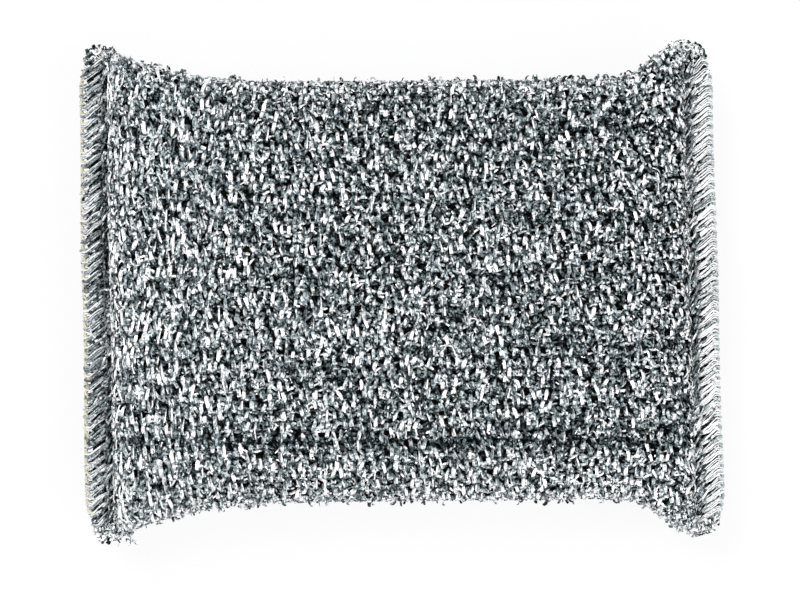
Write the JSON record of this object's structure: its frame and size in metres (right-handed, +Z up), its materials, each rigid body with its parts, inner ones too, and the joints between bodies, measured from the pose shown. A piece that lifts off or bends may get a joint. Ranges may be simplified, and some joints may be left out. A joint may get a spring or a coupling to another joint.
{
  "type": "wheel cleaning sponge",
  "caption": "Rectangular wheel cleaning sponge: a soft foam block in a silvery knitted scouring cover, sewn shut at both ends with overlock seams.",
  "frame": {"origin": "centre of the underside of the overall box, on the surface that the pad rests on", "axes": "+Z up through the pad's thickness, X along the knitted tube from the left seam to the right seam, Y along the seams"},
  "size_m": [0.1296, 0.0972, 0.0242],
  "materials": {
    "metallised_knit": "knit of flat silvery tape, glossy and finely glittering",
    "foam": "dark olive grey open-cell foam, matt",
    "overlock_thread": "silver grey bulked thread with a soft sheen",
    "edge_thread": "pale cream spun thread, matt"
  },
  "bodies": {
    "root": {"knitted_cover": "metallised_knit", "foam_core": "foam", "left_overlock_thread": "overlock_thread", "left_edge_thread": "edge_thread", "right_overlock_thread": "overlock_thread", "right_edge_thread": "edge_thread"}
  },
  "joints": []
}
